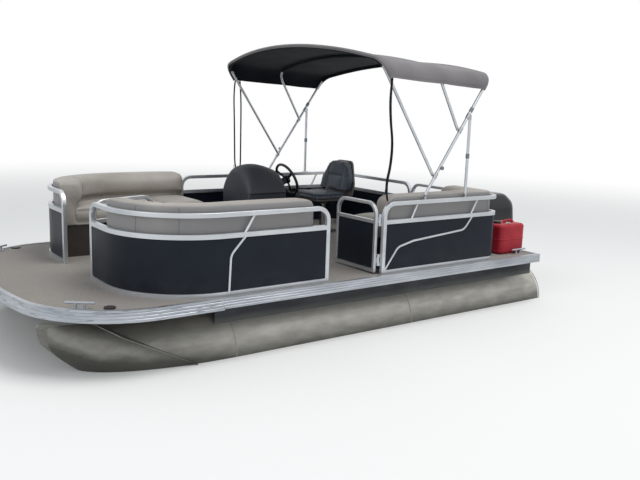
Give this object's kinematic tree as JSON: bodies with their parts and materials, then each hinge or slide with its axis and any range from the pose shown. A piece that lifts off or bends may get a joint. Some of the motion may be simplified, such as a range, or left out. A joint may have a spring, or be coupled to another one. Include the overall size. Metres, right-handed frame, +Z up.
{
  "type": "pontoon boat",
  "caption": "Small pontoon boat afloat, with railed deck, bow gate, side gate, couches, helm console and chair, raised bimini top and an outboard.",
  "frame": {"origin": "on the centreline, amidships along the deck, at the waterline", "axes": "+X to the bow, +Y to port, +Z up"},
  "size_m": [5.3868, 2.44, 2.7157],
  "materials": {
    "hull_aluminium": "weathered mill aluminium",
    "rail_aluminium": "satin anodised",
    "edge_aluminium": "ribbed extrusion, scuffed",
    "riser_aluminium": "dark oxidised sheet",
    "panel_navy": "semi-gloss dark navy",
    "deck_vinyl": "woven vinyl flooring",
    "seat_vinyl": "warm grey marine vinyl",
    "seat_base": "moulded dark brown",
    "console_plastic": "textured charcoal",
    "control_black": "soft black",
    "chair_vinyl": "dark blue-grey vinyl",
    "chair_shell": "moulded tan",
    "canvas": "taupe woven canvas",
    "webbing": "black webbing",
    "stainless": "satin stainless",
    "motor_paint": "gloss black cowl",
    "motor_casting": "satin black casting",
    "engine_block": "bare casting",
    "tank_red": "moulded red",
    "fitting_plastic": "off-white moulding"
  },
  "bodies": {
    "boat": {"bimini_canopy": "canvas", "bimini_fittings": "rail_aluminium", "bimini_front_bow": "rail_aluminium", "bimini_main_bow": "rail_aluminium", "bimini_middle_bow": "rail_aluminium", "bimini_straps": "webbing", "bimini_struts": "rail_aluminium", "bow_edge_trim": "edge_aluminium", "chair_pedestal": "stainless", "deck_cross_members": "hull_aluminium", "deck_floor": "deck_vinyl", "deck_plugs": "fitting_plastic", "fuel_tank": "tank_red", "helm_console": "console_plastic", "mooring_cleats": "stainless", "motor_pod": "riser_aluminium", "outboard_clamp_bracket": "motor_casting", "port_aft_couch_back": "seat_vinyl", "port_aft_couch_base": "seat_base", "port_aft_couch_seat": "seat_vinyl", "port_aft_fence_frame": "rail_aluminium", "port_aft_fence_panel": "panel_navy", "port_bow_couch_back": "seat_vinyl", "port_bow_couch_base": "seat_base", "port_bow_couch_seat": "seat_vinyl", "port_bow_fence_frame": "rail_aluminium", "port_bow_fence_panel": "panel_navy", "port_nose_cone": "hull_aluminium", "port_pontoon_tube": "hull_aluminium", "riser_brackets": "riser_aluminium", "side_edge_trims": "edge_aluminium", "spray_strakes": "hull_aluminium", "starboard_aft_fence_frame": "rail_aluminium", "starboard_aft_fence_panel": "panel_navy", "starboard_bow_couch_back": "seat_vinyl", "starboard_bow_couch_base": "seat_base", "starboard_bow_couch_seat": "seat_vinyl", "starboard_bow_fence_frame": "rail_aluminium", "starboard_bow_fence_panel": "panel_navy", "starboard_nose_cone": "hull_aluminium", "starboard_pontoon_tube": "hull_aluminium", "stern_edge_trim": "edge_aluminium", "throttle_control": "control_black", "transom_plate": "riser_aluminium"},
    "tilt_bracket": {"outboard_swivel_bracket": "motor_casting"},
    "outboard": {"outboard_midsection": "motor_casting", "outboard_tray": "motor_casting", "outboard_cowl": "motor_paint", "outboard_powerhead": "engine_block", "outboard_lower_unit": "motor_casting"},
    "propeller": {"propeller": "motor_casting"},
    "steering_wheel": {"steering_wheel": "control_black"},
    "side_gate": {"side_gate_frame": "rail_aluminium", "side_gate_panel": "panel_navy"},
    "bow_gate": {"bow_gate_frame": "rail_aluminium", "bow_gate_panel": "panel_navy"},
    "stern_gate": {"stern_gate_frame": "rail_aluminium", "stern_gate_panel": "panel_navy"},
    "helm_chair": {"chair_shell": "chair_shell", "chair_cushions": "chair_vinyl"}
  },
  "joints": [
    {"name": "outboard_tilt", "type": "hinge", "parent": "boat", "child": "tilt_bracket", "pos_m": [-2.54, 0, 0.335], "axis": [0, 1, 0], "range_deg": [0, 60]},
    {"name": "outboard_steer", "type": "hinge", "parent": "tilt_bracket", "child": "outboard", "pos_m": [-2.62, 0, 0.2], "axis": [0, 0, 1], "range_deg": [-35, 35]},
    {"name": "propeller_spin", "type": "hinge", "parent": "outboard", "child": "propeller", "pos_m": [-2.97, 0, -0.372], "axis": [1, 0, 0], "continuous": true},
    {"name": "steering_wheel_turn", "type": "hinge", "parent": "boat", "child": "steering_wheel", "pos_m": [-0.72, -0.67, 0.985], "axis": [-0.9063, 0, 0.4226], "range_deg": [-540, 540]},
    {"name": "side_gate_hinge", "type": "hinge", "parent": "boat", "child": "side_gate", "pos_m": [-0.376, 1.122, 0.7], "axis": [0, 0, 1], "range_deg": [0, 90]},
    {"name": "bow_gate_hinge", "type": "hinge", "parent": "boat", "child": "bow_gate", "pos_m": [1.53, 0.282, 0.7], "axis": [0, 0, 1], "range_deg": [-18, 72]},
    {"name": "stern_gate_hinge", "type": "hinge", "parent": "boat", "child": "stern_gate", "pos_m": [-1.715, 0.616, 0.7], "axis": [0, 0, -1], "range_deg": [0, 90]},
    {"name": "helm_chair_swivel", "type": "hinge", "parent": "boat", "child": "helm_chair", "pos_m": [-1.165, -0.66, 0.75], "axis": [0, 0, 1], "continuous": true}
  ],
  "couplings": [
    {"joint": "steering_wheel_turn", "follows": "outboard_steer", "ratio": -15.429}
  ]
}
